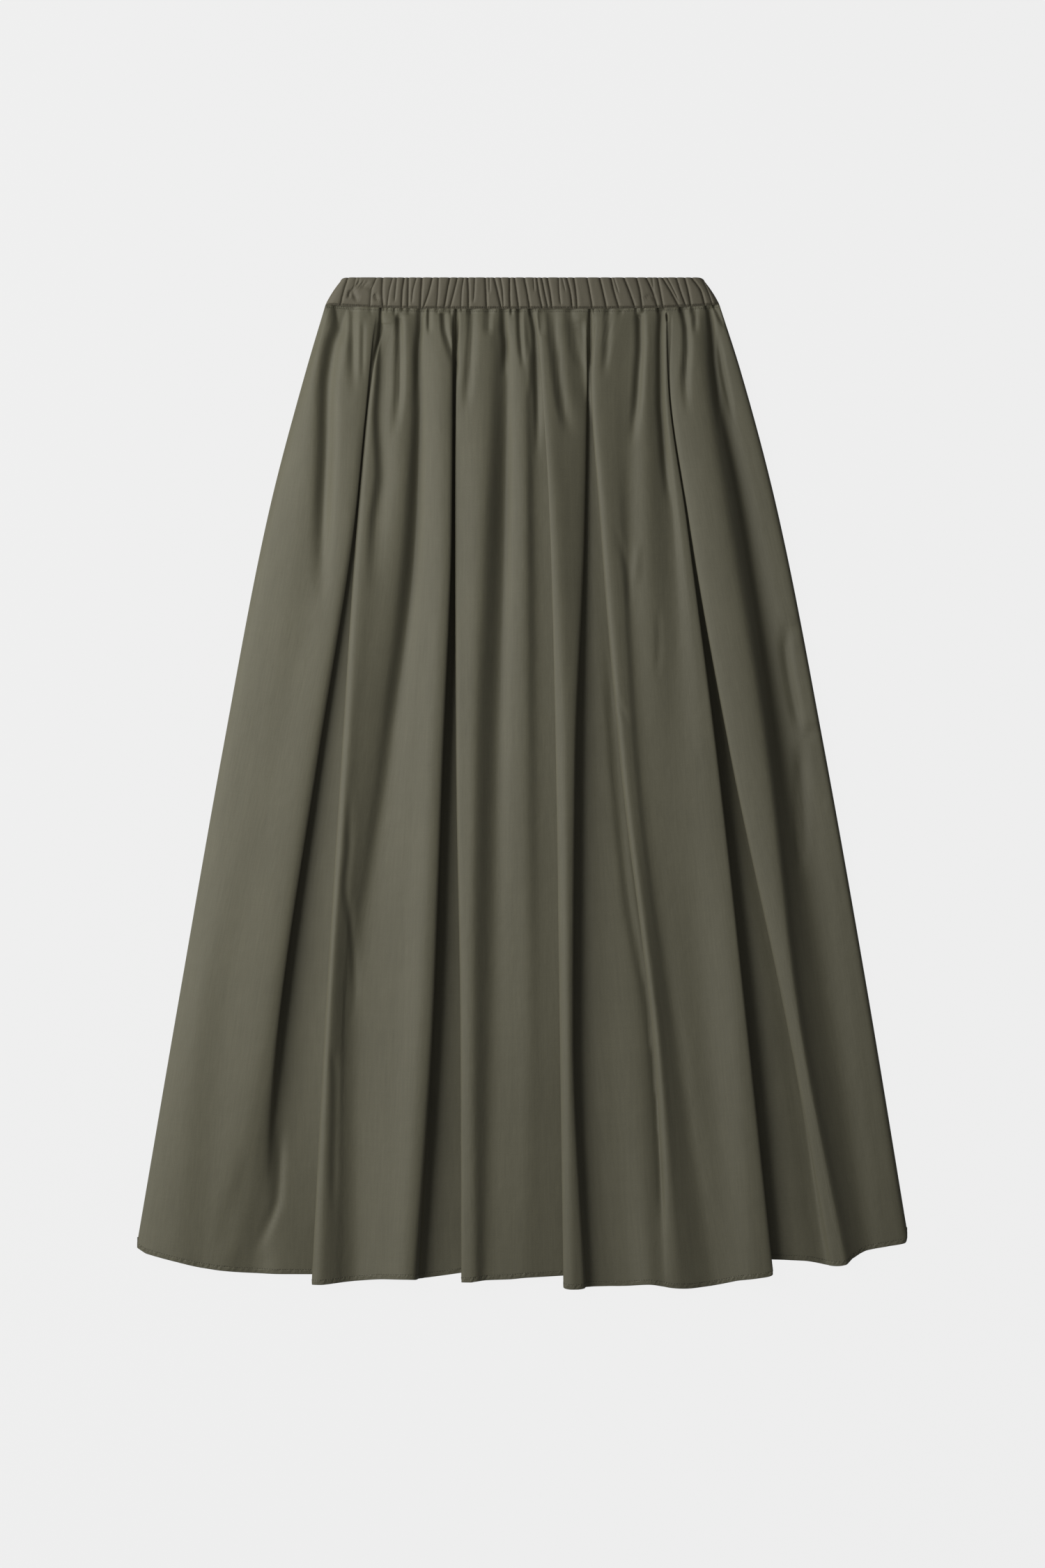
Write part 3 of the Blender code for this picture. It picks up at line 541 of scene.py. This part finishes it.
def top_layer_weight(points):
    """1 where a point is in the sheet's top layer, less where the sheet doubles over it."""
    weights = np.empty(points.shape[:2])
    for i, row in enumerate(points):
        x, z = row[:, 0], row[:, 2]
        low = x.min()
        bins = np.arange(low, x.max() + BIN_WIDTH, BIN_WIDTH)
        highest = np.full(len(bins), -np.inf)
        fine = np.linspace(0, len(x) - 1, 4 * len(x))
        fine_x = np.interp(fine, np.arange(len(x)), x)
        fine_z = np.interp(fine, np.arange(len(x)), z)
        slots = np.clip(((fine_x - low) / BIN_WIDTH).astype(int), 0, len(bins) - 1)
        np.maximum.at(highest, slots, fine_z)
        own = np.clip(((x - low) / BIN_WIDTH).astype(int), 0, len(bins) - 1)
        weights[i] = np.clip(1 - (highest[own] - z - TOP_LAYER_DEPTH) / TOP_LAYER_DEPTH, 0, 1)
    return weights


def crease_path(crease):
    """(points along a crease, how much of its depth it has there)."""
    corners = np.array(crease.path, float)
    lengths = np.concatenate(([0], np.cumsum(np.linalg.norm(np.diff(corners, axis=0), axis=1))))
    count = int(np.ceil(lengths[-1] / CREASE_STEP)) + 1
    at = np.linspace(0, lengths[-1], count)
    path = curve_through(lengths, corners, at)
    share = at / lengths[-1]
    start = smooth_step(share / crease.start) if crease.start else np.ones(count)
    end = smooth_step((1 - share) / crease.end) if crease.end else np.ones(count)
    return path, start * end


def crease_heights(flat, creases):
    """How far the creases lift each of the points, which lie on the XY plane."""
    lift = np.zeros(len(flat))
    for crease in creases:
        path, strength = crease_path(crease)
        reach = CREASE_REACH * max(crease.left, crease.right)
        low, high = path.min(axis=0) - reach, path.max(axis=0) + reach
        near = np.nonzero(np.all((flat > low) & (flat < high), axis=1))[0]
        if not len(near):
            continue
        offsets = flat[near][:, None, :] - path[None, :, :]
        nearest = np.argmin((offsets**2).sum(axis=2), axis=1)
        along = np.gradient(path, axis=0)
        along /= np.linalg.norm(along, axis=1, keepdims=True)
        offset = offsets[np.arange(len(near)), nearest]
        tangent = along[nearest]
        across = offset[:, 0] * tangent[:, 1] - offset[:, 1] * tangent[:, 0]
        beyond = np.abs((offset * tangent).sum(axis=1))
        # A path runs down the skirt, so what is to its left has a positive place across it. It
        # marks the crease's shaded left side, and the crease's floor lies a little to the right.
        across = across + CREASE_SHADE_SHIFT * crease.left
        width = np.where(across > 0, crease.left, crease.right)
        distance = np.hypot(across, np.maximum(beyond - CREASE_STEP, 0))
        lift[near] -= crease.depth * strength[nearest] * np.exp(-((distance / width) ** 2))
    return lift


def add_creases(points, creases, weight):
    flat = points[:, :, :2].reshape(-1, 2)
    points[:, :, 2] += crease_heights(flat, creases).reshape(points.shape[:2]) * weight


def seam_puckers():
    """A short crease under the foot of each of the band's gathers."""
    puckers = []
    for i, gather in enumerate(BAND_GATHERS):
        length = PUCKER_LENGTH * (0.7 + 0.3 * np.sin(2.4 * i))
        top = seam_y(gather.foot)
        path = ((gather.foot, top + 1), (gather.foot + 0.05 * gather.foot / 10, top - length))
        depth = PUCKER_DEPTH * gather.depth
        puckers.append(Crease("pucker", path, depth, PUCKER_WIDTH, PUCKER_WIDTH, 0, 0.7))
    return puckers


def across_lengths(points):
    """How far across the cloth each column is, measured along the middle row."""
    row = points[len(points) // 2]
    steps = np.linalg.norm(np.diff(row, axis=0), axis=1)
    return np.concatenate(([0], np.cumsum(steps)))


def sheet_mesh(name, points, material, across=None, closed=False):
    """A mesh through rows of points, with UVs in metres along the cloth."""
    if closed:
        points = np.concatenate((points, points[:1]))
    rows, columns = points.shape[:2]
    index = np.arange(rows * columns).reshape(rows, columns)
    if closed:
        index[-1] = index[0]
    upper_left, upper_right = index[:-1, :-1], index[:-1, 1:]
    lower_left, lower_right = index[1:, :-1], index[1:, 1:]
    faces = np.stack((upper_left, lower_left, lower_right, upper_right), axis=-1).reshape(-1, 4)
    unique_rows = rows - 1 if closed else rows
    mesh = bpy.data.meshes.new(name)
    mesh.from_pydata((points[:unique_rows].reshape(-1, 3) * MM).tolist(), [], faces.tolist())
    if across is None:
        across = across_lengths(points)
    down = np.linalg.norm(np.diff(points, axis=0), axis=2)
    down = np.concatenate((np.zeros((1, columns)), np.cumsum(down, axis=0)))
    uv = np.stack((np.broadcast_to(across, (rows, columns)), -down), axis=-1) * MM
    corners = [uv[:-1, :-1], uv[1:, :-1], uv[1:, 1:], uv[:-1, 1:]]
    layer = mesh.uv_layers.new(name="cloth")
    layer.data.foreach_set("uv", np.stack(corners, axis=2).astype(np.float32).reshape(-1))
    mesh.materials.append(material)
    mesh.shade_smooth()
    obj = bpy.data.objects.new(name, mesh)
    bpy.context.scene.collection.objects.link(obj)
    return obj


def section_frame(row):
    """(unit steps along a row of points, unit normals to it), both in the XZ plane."""
    along = np.gradient(row, axis=0)
    along[:, 1] = 0
    along /= np.maximum(np.linalg.norm(along, axis=1, keepdims=True), 1e-9)
    normal = np.stack((-along[:, 2], np.zeros(len(row)), along[:, 0]), axis=1)
    return along, normal


def hem_puckers(across, down):
    """How far the hem's face puffs out, from its stitches down to its edge."""
    phase = across + 0.55 * down
    wave = np.sin(phase / 0.93) + 0.7 * np.sin(phase / 0.61 + 1.3) + 0.6 * np.sin(phase / 1.9 + 0.4)
    patches = 0.55 + 0.45 * np.sin(across / 31.0) * np.sin(across / 83.0 + 1.0)
    swell = np.sin(np.pi * np.clip(down / HEM_TURN, 0, 1)) ** 0.8
    return 0.13 * wave * patches * swell


def hem_strip(last_row, outside):
    """A turned hem below a sheet's last row: its face, its rolled edge and its inner turn."""
    _, normal = section_frame(last_row)
    normal = normal * outside
    steps = np.linalg.norm(np.diff(last_row, axis=0), axis=1)
    across = np.concatenate(([0], np.cumsum(steps)))
    room = np.clip((last_row[:, 2] - BACK_HEIGHT) / 1.2, 0.2, 1.0)
    radius = (HEM_THICKNESS / 2 * room)[:, None]
    down_way = np.array([0.0, -1.0, 0.0])
    rows = []
    for down in np.linspace(0, HEM_TURN - HEM_THICKNESS / 2, HEM_FACE_ROWS):
        puff = hem_puckers(across, down)[:, None] * room[:, None]
        rows.append(last_row + down_way * down + normal * (puff + 0.05))
    face = rows[-1]
    for turn in np.linspace(0, np.pi, HEM_ROLL_ROWS + 2)[1:-1]:
        rows.append(face + down_way * np.sin(turn) * radius - normal * radius * (1 - np.cos(turn)))
    for up in np.linspace(0, HEM_ALLOWANCE, HEM_INNER_ROWS):
        rows.append(face - down_way * up - normal * radius * 2)
    return np.array(rows)


def band_gather_x(gather, share):
    return curve_through(GATHER_KNOTS, (gather.top, gather.middle, gather.foot), share)


def gather_sink(x, share):
    """How far the front band's gathers sink its face at x, at a share of the way down."""
    sink = np.zeros(len(x))
    foot = smooth_step((1 - share) / FOOT_STRIP)
    for gather in BAND_GATHERS:
        away = x - band_gather_x(gather, np.array([share]))[0]
        width = np.where(away < 0, GATHER_LEFT_WIDTH, GATHER_RIGHT_WIDTH)
        fade = smooth_step((gather.reach + GATHER_END_FADE - share) / GATHER_END_FADE)
        depth = GATHER_DEPTH_SHARE * gather.depth * fade * (0.35 + 0.65 * foot)
        sink += depth * np.exp(-np.abs(away) / width)
    return sink


def band_half(share):
    """Half the band's width at a share of the way down, bowed out a little at its sides."""
    straight = BAND_TOP_HALF + (BAND_FOOT_HALF - BAND_TOP_HALF) * share
    return straight + BAND_SIDE_BOW * 4 * share * (1 - share)


def band_y(across, share):
    foot = seam_y(across * BAND_FOOT_HALF)
    corner = BAND_CORNER * (1 - share) * np.abs(across) ** BAND_CORNER_POWER
    return WAIST_TOP_Y - corner - (WAIST_TOP_Y - foot) * share


def band_loop(across, outer_of, inner):
    """A flattened casing: rows up its outer face, over its top, down inside and round its foot."""
    rows = []
    close = 1 - np.abs(across) ** BAND_SIDE_CLOSE
    near_foot = np.linspace(1, BAND_FOOT_ZONE, BAND_FOOT_ROWS, endpoint=False)
    shares = np.concatenate((near_foot, np.linspace(BAND_FOOT_ZONE, 0, BAND_FACE_ROWS)))

    def point_row(share, height, lift=0.0):
        z = BAND_MIDDLE + (height - BAND_MIDDLE) * close
        return np.stack((across * band_half(share), band_y(across, share) + lift, z), axis=1)

    for share in shares:
        rows.append(point_row(share, outer_of(across * band_half(share), share)))
    top = outer_of(across * band_half(0), 0.0)
    radius = np.abs(top - inner) / 2
    for turn in np.linspace(0, np.pi, BAND_ROLL_ROWS + 2)[1:-1]:
        height = (top + inner) / 2 + (top - inner) / 2 * np.cos(turn)
        rows.append(point_row(0.0, height, np.sin(turn) * radius * 0.35))
    for share in np.linspace(0, 1, BAND_INNER_ROWS):
        rows.append(point_row(share, np.full(len(across), inner)))
    return np.array(rows)


def front_band_height(x, share):
    swell = FRONT_BAND_SWELL * np.sin(np.pi * np.clip(0.12 + 0.82 * share, 0, 1)) ** 0.6
    into_seam = smooth_step((1 - share) / 0.07)
    level = FRONT_BAND_FOOT + (FRONT_BAND_OUTER - FRONT_BAND_FOOT) * into_seam
    y = WAIST_TOP_Y - BAND_HEIGHT * share
    flat = np.stack((x, np.full(len(x), y)), axis=1)
    ridge = SEAM_RIDGE * np.exp(-(((share - SEAM_RIDGE_PLACE) / SEAM_RIDGE_WIDTH) ** 2))
    height = level + swell * into_seam + ridge - gather_sink(x, share)
    height = height + crease_heights(flat, BAND_DENTS)
    return np.maximum(height, FRONT_BAND_INNER + 0.25)


def back_band_height(x, share):
    """The back band's outer face, drawn up into gathers off the surface that it rests on."""
    place = (x / band_half(share) + 1) / 2 * BACK_GATHERS
    crease = np.abs((place + 0.22 * np.sin(place * 0.9)) % 1 - 0.5) * 2
    return BACK_BAND_OUTER + 1.1 * np.exp(-(1 - crease) / 0.16)


def stitch_meshes(name, stitch, places, directions, normals, material):
    """One mesh of small slanted stitches, each a rounded dash."""
    angles = np.arange(STITCH_SIDES) / STITCH_SIDES * 2 * np.pi
    rings = ((-0.5, 0.35), (-0.3, 1.0), (0.3, 1.0), (0.5, 0.35))
    vertices, faces = [], []
    for place, along, normal in zip(places, directions, normals):
        side = np.cross(along, normal)
        way = along + stitch.slant * side
        first = len(vertices)
        for reach, fatness in rings:
            middle = place + way * reach * stitch.length
            for angle in angles:
                ring = np.cos(angle) * side + np.sin(angle) * normal
                vertices.append(middle + ring * stitch.radius * fatness)
        for ring in range(len(rings) - 1):
            for j in range(STITCH_SIDES):
                a = first + ring * STITCH_SIDES + j
                b = first + ring * STITCH_SIDES + (j + 1) % STITCH_SIDES
                faces.append((a, a + STITCH_SIDES, b + STITCH_SIDES, b))
        faces.append(tuple(first + j for j in range(STITCH_SIDES)))
        last = first + (len(rings) - 1) * STITCH_SIDES
        faces.append(tuple(last + j for j in reversed(range(STITCH_SIDES))))
    mesh = bpy.data.meshes.new(name)
    mesh.from_pydata((np.array(vertices) * MM).tolist(), [], faces)
    mesh.materials.append(material)
    mesh.shade_smooth()
    obj = bpy.data.objects.new(name, mesh)
    bpy.context.scene.collection.objects.link(obj)
    return obj


def read_along(values, lengths, at):
    """The values of a row of points, read at lengths along it."""
    return np.stack([np.interp(at, lengths, values[:, k]) for k in range(3)], axis=1)


def stitches_along(name, stitch, row, outside, lift, material):
    """Stitches at an even pitch along a row of points, just proud of its outer side."""
    along, normal = section_frame(row)
    normal = normal * outside
    lengths = np.concatenate(([0], np.cumsum(np.linalg.norm(np.diff(row, axis=0), axis=1))))
    at = np.arange(stitch.pitch, lengths[-1] - stitch.pitch, stitch.pitch)
    directions, normals = read_along(along, lengths, at), read_along(normal, lengths, at)
    places = read_along(row, lengths, at) + normals * lift
    return stitch_meshes(name, stitch, places, directions, normals, material)


def back_surface(rows, columns):
    left, right = FRONT_LINES[0], FRONT_LINES[-1]
    across = np.linspace(0, 1, columns)
    hem_places, hem_drops = zip(*BACK_HEM)
    points = np.empty((len(rows), columns, 3))
    for i, share in enumerate(rows):
        x_left = curve_through(STATIONS, line_places(left), [share])[0]
        x_right = curve_through(STATIONS, line_places(right), [share])[0]
        x = x_left + (x_right - x_left) * across
        x_seam = left.x_seam + (right.x_seam - left.x_seam) * across
        x_hem = left.x_hem + (right.x_hem - left.x_hem) * across
        drop = curve_through(hem_places, hem_drops, x_hem)
        inside = np.minimum(x - x_left, x_right - x)
        roll = 1 - smooth_step(inside / BACK_SIDE_ROLL)
        points[i, :, 0] = x
        points[i, :, 1] = seam_y(x_seam) - share * (drop - HEM_TURN)
        points[i, :, 2] = BACK_HEIGHT + (SIDE_HEIGHT - BACK_HEIGHT) * roll
    return points


def add_node(tree, kind, **settings):
    node = tree.nodes.new(kind)
    for key, value in settings.items():
        setattr(node, key, value)
    return node


def cloth_material(name, colour, weave_strength):
    """Fine plain-woven cotton: slubs along its length, a soft mottle and a weave in the bump."""
    material = bpy.data.materials.new(name)
    material.use_nodes = True
    tree = material.node_tree
    link = tree.links.new
    shader = tree.nodes["Principled BSDF"]
    shader.inputs["Roughness"].default_value = 0.62
    shader.inputs["Specular IOR Level"].default_value = 0.45
    shader.inputs["Sheen Weight"].default_value = 0.12
    shader.inputs["Sheen Roughness"].default_value = 0.45
    uv = add_node(tree, "ShaderNodeUVMap", uv_map="cloth")

    def scaled(across, along):
        mapping = add_node(tree, "ShaderNodeMapping")
        mapping.inputs["Scale"].default_value = (across, along, 1)
        link(uv.outputs["UV"], mapping.inputs["Vector"])
        return mapping.outputs["Vector"]

    def noise(vector, scale, detail=2.0, roughness=0.5):
        node = add_node(tree, "ShaderNodeTexNoise")
        node.inputs["Scale"].default_value = scale
        node.inputs["Detail"].default_value = detail
        node.inputs["Roughness"].default_value = roughness
        link(vector, node.inputs["Vector"])
        return node.outputs["Fac"]

    def ramp(value, low, high, low_value, high_value):
        node = add_node(tree, "ShaderNodeMapRange")
        node.inputs["From Min"].default_value = low
        node.inputs["From Max"].default_value = high
        node.inputs["To Min"].default_value = low_value
        node.inputs["To Max"].default_value = high_value
        link(value, node.inputs["Value"])
        return node.outputs["Result"]

    def times(first, second):
        node = add_node(tree, "ShaderNodeMath", operation="MULTIPLY")
        link(first, node.inputs[0])
        link(second, node.inputs[1])
        return node.outputs["Value"]

    def plus(first, second):
        node = add_node(tree, "ShaderNodeMath", operation="ADD")
        link(first, node.inputs[0])
        link(second, node.inputs[1])
        return node.outputs["Value"]

    slubs = noise(scaled(800, 26), 1.0, 2.0, 0.6)
    weft_slubs = noise(scaled(30, 900), 1.0, 2.0, 0.6)
    mottle = noise(scaled(1, 1), 14.0, 3.0, 0.55)
    grain = noise(scaled(1, 1), 1500.0, 1.0, 0.5)
    tone = times(ramp(slubs, 0.3, 0.7, 0.945, 1.055), ramp(mottle, 0.3, 0.7, 0.96, 1.04))
    tone = times(tone, ramp(weft_slubs, 0.3, 0.7, 0.98, 1.02))
    tone = times(tone, ramp(grain, 0.3, 0.7, 0.95, 1.05))
    colour_node = add_node(tree, "ShaderNodeVectorMath", operation="SCALE")
    colour_node.inputs[0].default_value = colour
    link(tone, colour_node.inputs["Scale"])
    link(colour_node.outputs["Vector"], shader.inputs["Base Color"])

    def threads(vector, direction):
        node = add_node(tree, "ShaderNodeTexWave", wave_type="BANDS", bands_direction=direction)
        node.inputs["Scale"].default_value = 1.0
        node.inputs["Distortion"].default_value = 0.6
        node.inputs["Detail"].default_value = 1.0
        link(vector, node.inputs["Vector"])
        return node.outputs["Fac"]

    warp = threads(scaled(900, 60), "X")
    weft = threads(scaled(60, 900), "Y")
    weave = times(warp, weft)
    weave_bump = add_node(tree, "ShaderNodeBump")
    weave_bump.inputs["Strength"].default_value = weave_strength
    weave_bump.inputs["Distance"].default_value = 0.00006
    link(plus(weave, slubs), weave_bump.inputs["Height"])
    crumple = noise(scaled(1.6, 1), 60.0, 3.0, 0.5)
    crumple_bump = add_node(tree, "ShaderNodeBump")
    crumple_bump.inputs["Strength"].default_value = 0.35
    crumple_bump.inputs["Distance"].default_value = 0.0009
    link(crumple, crumple_bump.inputs["Height"])
    place_along = add_node(tree, "ShaderNodeSeparateXYZ")
    link(uv.outputs["UV"], place_along.inputs["Vector"])
    near_seam = ramp(place_along.outputs["Y"], -SEAM_PUCKER_REACH, -SEAM_PUCKER_REACH / 3, 0, 1)
    puckers = noise(scaled(1 / SEAM_PUCKER_PITCH, 0.7 / SEAM_PUCKER_PITCH), 1.0, 1.0, 0.5)
    pucker_bump = add_node(tree, "ShaderNodeBump")
    pucker_bump.inputs["Strength"].default_value = 1.0
    pucker_bump.inputs["Distance"].default_value = SEAM_PUCKER_HEIGHT
    link(times(puckers, near_seam), pucker_bump.inputs["Height"])
    link(crumple_bump.outputs["Normal"], pucker_bump.inputs["Normal"])
    link(pucker_bump.outputs["Normal"], weave_bump.inputs["Normal"])
    link(weave_bump.outputs["Normal"], shader.inputs["Normal"])
    return material


def thread_material(name, dark, light):
    material = bpy.data.materials.new(name)
    material.use_nodes = True
    shader = material.node_tree.nodes["Principled BSDF"]
    tree = material.node_tree
    noise = add_node(tree, "ShaderNodeTexNoise")
    noise.inputs["Scale"].default_value = 900.0
    mix = add_node(tree, "ShaderNodeMix", data_type="RGBA")
    mix.inputs[6].default_value = (*dark, 1)
    mix.inputs[7].default_value = (*light, 1)
    tree.links.new(noise.outputs["Fac"], mix.inputs["Factor"])
    tree.links.new(mix.outputs[2], shader.inputs["Base Color"])
    shader.inputs["Roughness"].default_value = 0.55
    return material


def camera_only_emission(tree, level, fill):
    """An emission that the camera sees at one level and the object at another."""
    path = add_node(tree, "ShaderNodeLightPath")
    strength = add_node(tree, "ShaderNodeMapRange")
    strength.inputs["To Min"].default_value = fill
    strength.inputs["To Max"].default_value = level
    tree.links.new(path.outputs["Is Camera Ray"], strength.inputs["Value"])
    return strength.outputs["Result"]


def build_floor():
    bpy.ops.mesh.primitive_plane_add(size=12)
    floor = bpy.context.object
    floor.name = "floor"
    material = bpy.data.materials.new("pale_floor")
    material.use_nodes = True
    tree = material.node_tree
    shader = tree.nodes["Principled BSDF"]
    shader.inputs["Base Color"].default_value = (0.02, 0.02, 0.02, 1)
    shader.inputs["Specular IOR Level"].default_value = 0
    shader.inputs["Emission Color"].default_value = (1, 1, 1, 1)
    strength = camera_only_emission(tree, FLOOR_LEVEL, FLOOR_FILL)
    tree.links.new(strength, shader.inputs["Emission Strength"])
    floor.data.materials.append(material)


def area_light(name, place, target, size, power, colour=(1, 1, 1)):
    data = bpy.data.lights.new(name, "AREA")
    data.size = size
    data.energy = power
    data.color = colour
    light = bpy.data.objects.new(name, data)
    bpy.context.scene.collection.objects.link(light)
    light.location = place
    direction = Vector(target) - Vector(place)
    light.rotation_euler = direction.to_track_quat("-Z", "Y").to_euler()


def build_light():
    area_light("key", (-1.3, 0.42, 1.06), (0, 0, 0), 1.4, 30.6, (1.0, 1.0, 0.985))
    world = bpy.data.worlds.new("studio")
    bpy.context.scene.world = world
    world.use_nodes = True
    tree = world.node_tree
    background = tree.nodes["Background"]
    background.inputs["Color"].default_value = (1, 1, 1, 1)
    strength = camera_only_emission(tree, FLOOR_LEVEL, SKY_FILL)
    tree.links.new(strength, background.inputs["Strength"])


def build_camera():
    data = bpy.data.cameras.new("camera")
    data.sensor_fit = "HORIZONTAL"
    data.sensor_width = CAMERA_SENSOR
    data.lens = CAMERA_LENS
    data.clip_end = 50
    camera = bpy.data.objects.new("camera", data)
    camera.location = (0, -CAMERA_DROP, CAMERA_HEIGHT)
    bpy.context.scene.collection.objects.link(camera)
    bpy.context.scene.camera = camera
    bpy.context.scene.view_settings.view_transform = "Standard"


def build_front(cloth, thread):
    """The front panel, its turned hem and the hem's stitches."""
    columns = front_columns()
    points = front_surface(columns, length_rows())
    weight = top_layer_weight(points)
    add_creases(points, FRONT_CREASES + seam_puckers(), weight)
    points[:, :, 2] = np.maximum(points[:, :, 2], SIDE_HEIGHT)
    print("front columns", len(columns), "triangles", 2 * (len(columns) - 1) * (len(points) - 1))
    front = sheet_mesh("front_cloth", points, cloth)
    last = points[-1]
    fine = np.linspace(0, len(last) - 1, HEM_FINENESS * (len(last) - 1) + 1)
    last = np.stack([np.interp(fine, np.arange(len(last)), last[:, k]) for k in range(3)], axis=1)
    strip = hem_strip(last, 1)
    middle = across_lengths(points)
    across = np.interp(fine, np.arange(len(middle)), middle)
    hem = sheet_mesh("front_hem", strip, cloth, across)
    stitch_row = last + np.array([0, HEM_STITCH_ABOVE_EDGE - HEM_TURN, 0])
    # These stitches take the dark hem thread, whose colour is painted shade of the needle holes.
    stitches = stitches_along("front_hem_stitches", HEM_STITCH, stitch_row, 1, 0.1, thread)
    for piece in (front, hem, stitches):
        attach(piece, "root")
        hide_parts("front_panel")
    return points


def build_back(cloth, thread):
    """The back panel, its turned hem and the hem's stitches."""
    points = back_surface(length_rows()[::2], BACK_COLUMNS)
    from_sides = np.minimum(points[:, :, 0] - points[:, :1, 0], points[:, -1:, 0] - points[:, :, 0])
    add_creases(points, BACK_CREASES, BACK_CREASE_SHARE * smooth_step(from_sides / BACK_CREASE_INSET))
    back = sheet_mesh("back_cloth", points, cloth)
    last = points[-1]
    fine = np.linspace(0, len(last) - 1, HEM_FINENESS * (len(last) - 1) + 1)
    last = np.stack([np.interp(fine, np.arange(len(last)), last[:, k]) for k in range(3)], axis=1)
    strip = hem_strip(last, -1)
    hem = sheet_mesh("back_hem", strip, cloth)
    stitch_row = last + np.array([0, HEM_STITCH_ABOVE_EDGE - HEM_TURN, 0.1])
    # These stitches take the dark hem thread, whose colour is painted shade of the needle holes.
    stitches = stitches_along("back_hem_stitches", HEM_STITCH, stitch_row, -1, 0.0, thread)
    for piece in (back, hem, stitches):
        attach(piece, "root")
        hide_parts("back_panel")


def build_bands(cloth, thread, front_points):
    across = np.linspace(-1, 1, BAND_COLUMNS)
    rows = band_loop(across, front_band_height, FRONT_BAND_INNER)
    front = sheet_mesh("front_band", rows, cloth, across * BAND_FOOT_HALF * 1.6, closed=True)
    across = np.linspace(-1, 1, BACK_BAND_COLUMNS)
    rows = band_loop(across, back_band_height, BACK_BAND_INNER)
    back = sheet_mesh("back_band", rows[::-1], cloth, across * BAND_FOOT_HALF * 1.6, closed=True)
    x = np.linspace(-BAND_FOOT_HALF + 2, BAND_FOOT_HALF - 2, 700)
    upper = np.stack((x, seam_y(x) + 1.0, front_band_height(x, 0.96) - 0.1), axis=1)
    middle_column = front_points[:, front_points.shape[1] // 2, 1]
    below = front_points[np.argmin(np.abs(middle_column - (SEAM_Y - WAIST_STITCHES_BELOW_SEAM)))]
    seam = stitches_along("waist_stitches_upper", WAIST_STITCH, upper, 1, 0.05, thread)
    lower = stitches_along("waist_stitches_lower", WAIST_STITCH, below, 1, 0.1, thread)
    for piece in (front, back, seam, lower):
        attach(piece, "root")
    for piece in (front, seam, lower):
        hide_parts("waistband_front")
    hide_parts("waistband_back")


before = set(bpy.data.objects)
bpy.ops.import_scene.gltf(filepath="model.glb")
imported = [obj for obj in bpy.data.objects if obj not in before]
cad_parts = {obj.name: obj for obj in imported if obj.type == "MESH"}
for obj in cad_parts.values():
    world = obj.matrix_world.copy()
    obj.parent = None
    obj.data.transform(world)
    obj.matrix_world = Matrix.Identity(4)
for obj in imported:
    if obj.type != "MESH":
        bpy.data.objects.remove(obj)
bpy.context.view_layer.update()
build_camera()
build_floor()
build_light()
olive = cloth_material("olive_cotton", (0.1232, 0.1155, 0.075), 0.35)
# The band's cloth is a lighter, warmer copy of the panels' olive cotton: its extra lightness is painted
# light on the band.
olive_band = cloth_material("olive_band", (0.132, 0.118, 0.0815), 0.35)
# The hem's thread is dark: painted shade that stands in for the shaded needle holes along the hem.
hem_thread_painted_shade = thread_material("hem_thread_painted_shade", (0.035, 0.032, 0.021), (0.075, 0.069, 0.047))
waist_thread = thread_material("waist_thread", (0.07, 0.064, 0.043), (0.135, 0.124, 0.086))
front_points = build_front(olive, hem_thread_painted_shade)
build_back(olive, hem_thread_painted_shade)
build_bands(olive_band, waist_thread, front_points)
